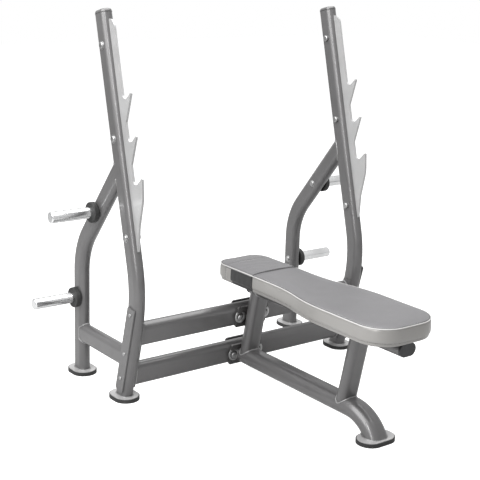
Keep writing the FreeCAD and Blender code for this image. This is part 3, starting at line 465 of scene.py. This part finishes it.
pad = pad_start()
start = [v.co.copy() for v in pad.data.vertices]
held = pad.vertex_groups.new(name="held")
held.add([i for i, p in enumerate(start) if p.z < pad_low.z + 0.004], 1.0, "ADD")
cloth = pad.modifiers.new("cloth", "CLOTH")
cloth.settings.quality = 4
cloth.settings.mass = 0.35
cloth.settings.tension_stiffness = 22
cloth.settings.compression_stiffness = 22
cloth.settings.bending_stiffness = 2.0
cloth.settings.use_pressure = True
cloth.settings.uniform_pressure_force = 4.0
cloth.settings.vertex_group_mass = "held"
cloth.settings.effector_weights.gravity = 0.0
cloth.point_cache.frame_start = 1
cloth.point_cache.frame_end = 20
for step in range(1, 21):
    bpy.context.scene.frame_set(step)
filled = evaluated_copy(pad)
moves = []
for vertex, before in zip(filled.vertices, start):
    moved = vertex.co - before
    moves.append(moved * min(1.0, PAD_CAP / max(moved.length, 1e-9)))
moves = np.array(moves)
ends = np.array([tuple(e.vertices) for e in filled.edges])
share = np.bincount(ends.ravel(), minlength=len(moves))[:, None]
for pass_ in range(PAD_CALM):
    around = np.zeros_like(moves)
    np.add.at(around, ends[:, 0], moves[ends[:, 1]])
    np.add.at(around, ends[:, 1], moves[ends[:, 0]])
    moves = 0.4 * moves + 0.6 * around / share
for vertex, before, moved in zip(filled.vertices, start, moves):
    vertex.co = before + Vector(moved)
pad.modifiers.clear()
pad.vertex_groups.clear()
pad.data = filled
bpy.context.scene.frame_set(1)

for vertex in pad.data.vertices:
    vertex.co.z = max(vertex.co.z, pad_low.z + 0.0003)
print("pad quads:", len(pad.data.polygons))

# %% [markdown]
# ## Seam, piping and stitches on the pad
#
# The top panel and the side band are two pieces of vinyl sewn together with a
# thin cord between them. A ray towards the rounded edge finds the filled
# surface, so the piping lies on it all the way round.

# %%
EDGE_DROP = 0.007
PIPING_RADIUS = 0.0021
shape = bmesh.new()
shape.from_mesh(pad.data)
bmesh.ops.smooth_vert(
    shape,
    verts=shape.verts,
    factor=0.5,
    use_axis_x=True,
    use_axis_y=True,
    use_axis_z=True,
)
pad_tree = BVHTree.FromBMesh(shape)
seam = []
for place, normal in zip(outline, normals):
    aim = (normal + Vector((0, 0, 1))).normalized()
    target = Vector((place.x, place.y, pad_high.z)) - (normal + Vector((0, 0, 1))) * EDGE_DROP
    hit = pad_tree.ray_cast(target + aim * 0.06, -aim)[0]
    seam.append(hit if hit else target)
for round_ in range(2):
    seam = [
        (a + b * 2 + c) / 4
        for a, b, c in zip(seam[-1:] + seam[:-1], seam, seam[1:] + seam[:1])
    ]
# The cord's pale vinyl is a painted highlight along the seam.
bead("pad_piping", [p + n * 0.0004 for p, n in zip(seam, normals)], PIPING_RADIUS,
     PIPING_VINYL_PAINTED_HIGHLIGHT, sides=12)
groove = [p - n * 0.0026 + Vector((0, 0, 0.0012)) for p, n in zip(seam, normals)]
bead("pad_seam_shadow", groove, 0.0011, BLACK_VINYL)

ring_tree = BVHTree.FromPolygons(
    [p + Vector((0, 0, s)) for p in seam for s in (-0.0005, 0.0005)],
    [(2 * i, 2 * i + 1, (2 * i + 3) % (2 * len(seam)), (2 * i + 2) % (2 * len(seam)))
     for i in range(len(seam))],
)
for vertex in shape.verts:
    gap = ring_tree.find_nearest(vertex.co)[3]
    if gap is not None and gap < 0.009:
        pull = 0.0016 * (1 - gap / 0.009) ** 2
        vertex.co -= vertex.normal * pull
for face in shape.faces:
    middle = face.calc_center_median()
    near = ring_tree.find_nearest(middle)[0]
    if face.normal.z < -0.7:
        face.material_index = 2
    elif middle.z < near.z - 0.0006 or face.normal.z < 0.45:
        face.material_index = 1
    face.smooth = True
shape.to_mesh(pad.data)
shape.free()
for material in (TOP_VINYL, BAND_VINYL, UNDER_CLOTH):
    pad.data.materials.append(material)
smooth = pad.modifiers.new("smooth", "SUBSURF")
smooth.levels = smooth.render_levels = 1
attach(pad, "root")
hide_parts("seat_pad")


def stitches(name, line, material, every, surface, size=(0.0017, 0.00045)):
    """Short threads laid on a surface along a line of points."""
    mesh = bmesh.new()
    for index in range(0, len(line) - 1, every):
        here, after = line[index], line[index + 1]
        place, up = surface.find_nearest(here)[:2]
        if place is None:
            continue
        along = (after - here).normalized()
        side = along.cross(up).normalized()
        turn = Matrix((along, side, side.cross(along) * -1)).transposed().to_4x4()
        fit = Matrix.Diagonal((size[0], size[1], size[1], 1))
        bmesh.ops.create_uvsphere(
            mesh, u_segments=6, v_segments=4, radius=1,
            matrix=Matrix.Translation(place + up * 0.0002) @ turn @ fit,
        )
    return add_object(name, mesh, material)


inner_seam = resample([p - n * 0.007 for p, n in zip(seam, normals)], 620)
stitches("pad_stitches", inner_seam, THREAD, 2, pad_tree)
print("seam points:", len(seam))

# %% [markdown]
# ## The vinyl pulled over the board
#
# On a real pad the side band does not stop at the foam: it is pulled over the
# edge of the plywood and stapled beneath. Rings of the board's own outline,
# bridged together and given a thickness, make that turned edge.

# %%
WRAP_OUT, WRAP_TUCK, WRAP_THICK = 0.0026, 0.022, 0.001
cover_low, cover_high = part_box("head_cover")
BLACK_REAR = cover_high.y - 0.037
board_low, board_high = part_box("pad_board")
board_middle = (board_low.z + board_high.z) / 2
board_line = resample(
    section_ring("pad_board", (0, 0, board_middle), (0, 0, 1)), 300
)
board_out = plan_normals(board_line)
wrap = bmesh.new()
rings = []
for out, height in (
    (WRAP_OUT + 0.0012, board_high.z + 0.010),
    (WRAP_OUT + 0.0008, board_high.z + 0.003),
    (WRAP_OUT, board_middle),
    (WRAP_OUT * 0.8, board_low.z + 0.001),
    (0.0, board_low.z - 0.0016),
    (-WRAP_TUCK, board_low.z - 0.0014),
):
    verts = [
        wrap.verts.new((p.x + n.x * out, p.y + n.y * out, height))
        for p, n in zip(board_line, board_out)
    ]
    rings.append([wrap.edges.new(pair) for pair in zip(verts, verts[1:] + verts[:1])])
for upper, lower in zip(rings, rings[1:]):
    bmesh.ops.bridge_loops(wrap, edges=upper + lower)
bmesh.ops.recalc_face_normals(wrap, faces=wrap.faces)
bmesh.ops.solidify(wrap, geom=wrap.faces[:], thickness=WRAP_THICK)
for face in wrap.faces:
    if cover_low.y < face.calc_center_median().y < BLACK_REAR:
        face.material_index = 1
band_wrap = add_object("pad_band_wrap", wrap, BAND_VINYL, BLACK_VINYL)
wrap_smooth = band_wrap.modifiers.new("smooth", "SUBSURF")
wrap_smooth.levels = wrap_smooth.render_levels = 1
staples = bmesh.new()
for place, normal in zip(board_line[::6], board_out[::6]):
    centre = place - normal * (WRAP_TUCK * 0.7)
    centre.z = board_low.z - 0.0022
    turn = Matrix.Rotation(math.atan2(normal.y, normal.x), 4, "Z")
    fit = Matrix.Diagonal((0.0005, 0.006, 0.0004, 1))
    bmesh.ops.create_cube(
        staples, size=1, matrix=Matrix.Translation(centre) @ turn @ fit
    )
add_object("pad_staples", staples, finish["fastener"])
print("staples:", len(board_line[::6]))

# %% [markdown]
# ## The head cover
#
# A slip-over cover hides the part of the pad that a head rests on. It has to
# follow the filled pad closely, so it is cut from the pad's own surface, lifted
# by two millimetres and given a thickness.

# %%
COVER_LIFT = 0.0013
COVER_THICK = 0.0011
mesh = bmesh.new()
mesh.from_mesh(pad.data)
for height, sign in ((cover_low.y, -1), (cover_high.y, 1)):
    bmesh.ops.bisect_plane(
        mesh,
        geom=mesh.verts[:] + mesh.edges[:] + mesh.faces[:],
        plane_co=(0, height, 0),
        plane_no=(0, sign, 0),
        clear_outer=True,
    )
bmesh.ops.bisect_plane(
    mesh,
    geom=mesh.verts[:] + mesh.edges[:] + mesh.faces[:],
    plane_co=(0, BLACK_REAR, 0),
    plane_no=(0, 1, 0),
)
mesh.normal_update()
under = [f for f in mesh.faces if f.normal.z < -0.6]
bmesh.ops.delete(mesh, geom=under, context="FACES")
mesh.normal_update()
for vertex in mesh.verts:
    pucker = noise.noise(Vector((vertex.co.x * 18, vertex.co.y * 55, vertex.co.z * 30)))
    vertex.co += vertex.normal * (COVER_LIFT + 0.0007 * pucker)
bmesh.ops.recalc_face_normals(mesh, faces=mesh.faces)
bmesh.ops.solidify(mesh, geom=mesh.faces[:], thickness=COVER_THICK)
for face in mesh.faces:
    middle = face.calc_center_median()
    side = middle.z < pad_high.z - 0.008
    face.material_index = 1 if side and middle.y < BLACK_REAR else (2 if side else 0)
cover = add_object("head_slip_cover", mesh, TOP_VINYL, BLACK_VINYL, BAND_VINYL)
cover_smooth = cover.modifiers.new("smooth", "SUBSURF")
cover_smooth.levels = cover_smooth.render_levels = 1
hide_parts("head_cover")

cover_mesh = bmesh.new()
cover_mesh.from_mesh(cover.data)
cover_tree = BVHTree.FromBMesh(cover_mesh)
cover_mesh.free()


def over_the_top(y_of, count=150):
    """Points across the cover from one lower edge to the other."""
    made = []
    for k in range(count + 1):
        share = 2 * k / count - 1
        angle = share * math.radians(118)
        ray = Vector((math.sin(angle), 0, math.cos(angle)))
        centre = Vector((0, y_of(share), MID_Z + 0.004))
        hit = cover_tree.ray_cast(centre + ray * 0.3, -ray)[0]
        if hit:
            made.append(hit)
    return made


front_hem = over_the_top(lambda s: cover_low.y + 0.003)
rear_hem = over_the_top(lambda s: cover_high.y - 0.003)
bead("cover_front_hem", front_hem, 0.0016, BLACK_VINYL, closed=False)
bead("cover_rear_hem", rear_hem, 0.0006, TOP_VINYL, closed=False)
stitches("cover_front_stitches", over_the_top(lambda s: cover_low.y + 0.009),
         DARK_THREAD, 2, cover_tree)
stitches("cover_rear_stitches", over_the_top(lambda s: cover_high.y - 0.012),
         THREAD, 2, cover_tree)
print("cover faces:", len(cover.data.polygons))

# %% [markdown]
# ## Weld beads
#
# Each tube is welded all the way round. The tube's own section is thrown
# along its axis on to the neighbour, and where it lands a rippled bead is
# laid. That way a bead on a rounded tube dips with the tube. The beads wear
# the frame's powder coat in a lighter grey: a painted highlight along each weld.

# %%
WELD_RADIUS = 0.0024


def weld(name, tube, target, point, axis, out=0.0012, count=110, radius=WELD_RADIUS):
    axis = Vector(axis).normalized()
    ring = resample(section_ring(tube, point, axis), count)
    middle = sum(ring, Vector()) / len(ring)
    surface = bvh_of(target)
    landed = []
    for place in ring:
        outward = (place - middle).normalized() * out
        hit = surface.ray_cast(place + outward, axis)[0]
        if hit:
            landed.append(hit)
    if len(landed) < count * 0.35:
        print("no room for", name)
        return
    gaps = [
        (b - a).length for a, b in zip(landed, landed[1:] + landed[:1])
    ]
    widest = gaps.index(max(gaps))
    open_line = gaps[widest] > 0.02
    if open_line:
        landed = landed[widest + 1:] + landed[:widest + 1]
    bead(name, landed, radius, WELD_PAINTED_HIGHLIGHT, closed=not open_line, ripple=0.16)


def tube_line(node, first, second, normal=(0, 0, 1)):
    """The direction of a straight tube, from its section at one point to another."""
    ends = []
    for point in (first, second):
        ring = section_ring(node, point, normal)
        ring = resample(ring, 64)
        ends.append(sum(ring, Vector()) / len(ring))
    return (ends[1] - ends[0]).normalized()


DOWN = (0, 0, -1)
LEG_HIGH, LEG_LOW = (0, 0.330, 0.815), (0, 0.380, 0.754)
CAP_SEAM = (0, 0.42687, 1.38486)
bench_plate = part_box("bench_foot_plate")[1].z
weld("bench_foot_weld", "base_tube", "bench_foot_plate",
     (0, 0, bench_plate + 0.006), DOWN)
for post in ("front_post", "rear_post"):
    line = tube_line(post, (0, 0, 0.26), (0, 0, 0.17))
    weld(f"{post}_base_weld", post, "base_tube", (0, 0, 0.20), line)
    weld(f"{post}_beam_weld", post, "pad_beam", (0, 0, 0.26), -line)
for side in ("left", "right"):
    for tube, foot in (("upright", "front"), ("rear_leg", "rear")):
        low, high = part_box(f"{side}_{foot}_foot_plate")
        weld(f"{side}_{foot}_foot_weld", f"{side}_{tube}",
             f"{side}_{foot}_foot_plate", (0, 0, high.z + 0.006), DOWN)
    rising = Vector(LEG_HIGH) - Vector(LEG_LOW)
    weld(f"{side}_leg_joint_weld", f"{side}_rear_leg", f"{side}_upright",
         Vector(LEG_HIGH) - rising * 0.3, rising)
    rail_low, rail_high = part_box(f"{side}_side_rail")
    rail_middle = (rail_low + rail_high) / 2
    weld(f"{side}_rail_rear_weld", f"{side}_side_rail", f"{side}_rear_leg",
         rail_middle, (0, 1, 0))
    weld(f"{side}_rail_front_weld", f"{side}_side_rail", f"{side}_upright",
         rail_middle, (0, -1, 0))
    out = -1 if side == "left" else 1
    for level in ("lower", "upper"):
        weld(f"{side}_{level}_cross_weld", f"{level}_crossmember",
             f"{side}_end_plate", (out * 0.40, 0, 0), (out, 0, 0))
    rim = section_ring(f"{side}_upright", Vector(CAP_SEAM) - Vector((0, 0, 0.004)),
                       (0, 0.24615, 0.96923))
    rim = [p + Vector((0, 0.24615, 0.96923)) * 0.004 for p in resample(rim, 96)]
    bead(f"{side}_cap_rim", rim, 0.0011, BLACK_VINYL)

# %% [markdown]
# ## Washers
#
# A plain washer under a bolt head is a ring with a small bevel. Each bolt in a
# node is one island of the mesh, so its box gives the centre and the side the
# head is on.


# %%
def islands(node):
    mesh = merged_copy(node)
    left, boxes = set(mesh.verts), []
    while left:
        stack = [left.pop()]
        group = []
        while stack:
            vertex = stack.pop()
            group.append(vertex.co.copy())
            for edge in vertex.link_edges:
                other = edge.other_vert(vertex)
                if other in left:
                    left.remove(other)
                    stack.append(other)
        low = Vector([min(p[i] for p in group) for i in range(3)])
        high = Vector([max(p[i] for p in group) for i in range(3)])
        boxes.append((low, high))
    mesh.free()
    return boxes


def washer_ring(mesh, centre, axis, inner, outer, thick):
    """A flat ring, spun all the way round from its small section."""
    axis = Vector(axis).normalized()
    side = axis.orthogonal().normalized()
    soft = thick * 0.3
    section = [
        (inner, 0), (outer, 0), (outer, thick - soft), (outer - soft, thick),
        (inner + soft, thick), (inner, thick - soft),
    ]
    verts = [mesh.verts.new(centre + side * r + axis * h) for r, h in section]
    edges = [mesh.edges.new((a, b)) for a, b in zip(verts, verts[1:] + verts[:1])]
    bmesh.ops.spin(mesh, geom=verts + edges, cent=centre, axis=axis,
                   angle=math.tau, steps=40, use_merge=True)


def washers(name, node, out, head, spread, thick=0.0016):
    """One washer under every bolt head of a node; out points away from the seat."""
    mesh = bmesh.new()
    out = Vector(out)
    for low, high in islands(node):
        middle = (low + high) / 2
        reach = (high - low) / 2
        along = abs(reach.dot(out))
        radius = max(reach[i] for i in range(3) if abs(out[i]) < 0.5)
        seat = middle + out * (along - head)
        washer_ring(mesh, seat, out, radius - 0.0008, radius * spread, thick)
    bmesh.ops.remove_doubles(mesh, verts=mesh.verts, dist=1e-6)
    return add_object(name, mesh, finish["fastener"])


BOLT_HEAD = 0.007
for side, out in (("left", -1), ("right", 1)):
    washers(f"{side}_hook_washers", f"{side}_hook_bolts", (out, 0, 0), BOLT_HEAD, 1.3)
    washers(f"{side}_horn_washers", f"{side}_horn_bolts", (-out, 0, 0), BOLT_HEAD, 1.3)
washers("bracket_washers", "bracket_bolts", (0, -1, 0), BOLT_HEAD, 1.55, 0.0024)

# %% [markdown]
# ## Floor, light and camera
#
# A pale floor under a white sky keeps the object's soft shadow, and big area
# lights give long soft highlights on the rounded tubes. The sky looks white
# straight to the camera and in reflections, but lights the scene gently.

# %%
FLOOR_GLOW = 0.84
floor_mesh = bmesh.new()
bmesh.ops.create_grid(floor_mesh, x_segments=4, y_segments=4, size=14)
floor_data = bpy.data.meshes.new("floor")
floor_mesh.to_mesh(floor_data)
floor_mesh.free()
floor = bpy.data.objects.new("floor", floor_data)
bpy.context.scene.collection.objects.link(floor)
floor_material, floor_tree, floor_shader = new_material(
    "floor_white", (0.55, 0.55, 0.55), 0.0, 0.9
)
floor_shader.inputs["Emission Color"].default_value = (1, 1, 1, 1)
seen = floor_tree.nodes.new("ShaderNodeLightPath")
glow = floor_tree.nodes.new("ShaderNodeMath")
glow.operation = "MULTIPLY"
glow.inputs[1].default_value = FLOOR_GLOW
floor_tree.links.new(seen.outputs["Is Camera Ray"], glow.inputs[0])
floor_tree.links.new(glow.outputs[0], floor_shader.inputs["Emission Strength"])
floor_data.materials.append(floor_material)
floor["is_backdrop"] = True

world = bpy.data.worlds.new("studio")
world.use_nodes = True
bpy.context.scene.world = world
tree = world.node_tree
sky = tree.nodes["Background"]
sky.inputs["Color"].default_value = (1, 1, 1, 1)
SKY_LIGHT, SKY_SEEN, SKY_MIRRORED = 0.32, 1.0, 0.78
rays = tree.nodes.new("ShaderNodeLightPath")
strength = None
for ray, extra in (
    ("Is Camera Ray", SKY_SEEN - SKY_LIGHT),
    ("Is Glossy Ray", SKY_MIRRORED - SKY_LIGHT),
):
    add = tree.nodes.new("ShaderNodeMath")
    add.operation = "MULTIPLY_ADD"
    add.inputs[1].default_value = extra
    add.inputs[2].default_value = SKY_LIGHT
    tree.links.new(rays.outputs[ray], add.inputs[0])
    if strength:
        tree.links.new(strength, add.inputs[2])
    strength = add.outputs[0]
tree.links.new(strength, sky.inputs["Strength"])


def area_light(name, place, aim, wide, tall, power):
    data = bpy.data.lights.new(name, "AREA")
    data.shape = "RECTANGLE"
    data.size, data.size_y = wide, tall
    data.energy = power
    lamp = bpy.data.objects.new(name, data)
    lamp.location = place
    lamp.rotation_euler = (Vector(aim) - Vector(place)).to_track_quat("-Z", "Y").to_euler()
    bpy.context.scene.collection.objects.link(lamp)
    lamp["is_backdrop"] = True
    return lamp


area_light("top_softbox", (0, 0, 3.6), (0, 0, 0), 4.5, 4.5, 215)
area_light("left_softbox", (-3.3, 0.2, 2.9), (0, -0.1, 0.4), 3.0, 3.0, 150)
area_light("left_strip", (-3.2, -1.9, 1.9), (0, 0, 0.7), 0.35, 2.6, 50)

CAMERA_PLACE = Vector((-2.498, -3.0048, 1.6082))
AZIMUTH, ELEVATION, ROLL = (math.radians(v) for v in (-37.167, 13.1345, 1.6614))
LENS, SENSOR, SHIFT_Y = 83.153, 36.0, -0.0625
back = Vector((
    math.sin(AZIMUTH) * math.cos(ELEVATION),
    -math.cos(AZIMUTH) * math.cos(ELEVATION),
    math.sin(ELEVATION),
))
right = Vector((math.cos(AZIMUTH), math.sin(AZIMUTH), 0))
up = right.cross(-back)
view_right = right * math.cos(ROLL) + up * math.sin(ROLL)
view_up = up * math.cos(ROLL) - right * math.sin(ROLL)
camera_data = bpy.data.cameras.new("camera")
camera_data.lens = LENS
camera_data.sensor_width = SENSOR
camera_data.shift_y = SHIFT_Y
camera = bpy.data.objects.new("camera", camera_data)
turn = Matrix((view_right, view_up, back)).transposed().to_4x4()
camera.matrix_world = Matrix.Translation(CAMERA_PLACE) @ turn
bpy.context.scene.collection.objects.link(camera)
bpy.context.scene.camera = camera
bpy.context.scene.view_settings.view_transform = "Standard"
print("camera at", tuple(round(v, 3) for v in CAMERA_PLACE))

# %% [markdown]
# ## Sizes
#
# The box round every shown piece, leaving out the floor and the lamps,
# is measured.

# %%
low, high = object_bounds()
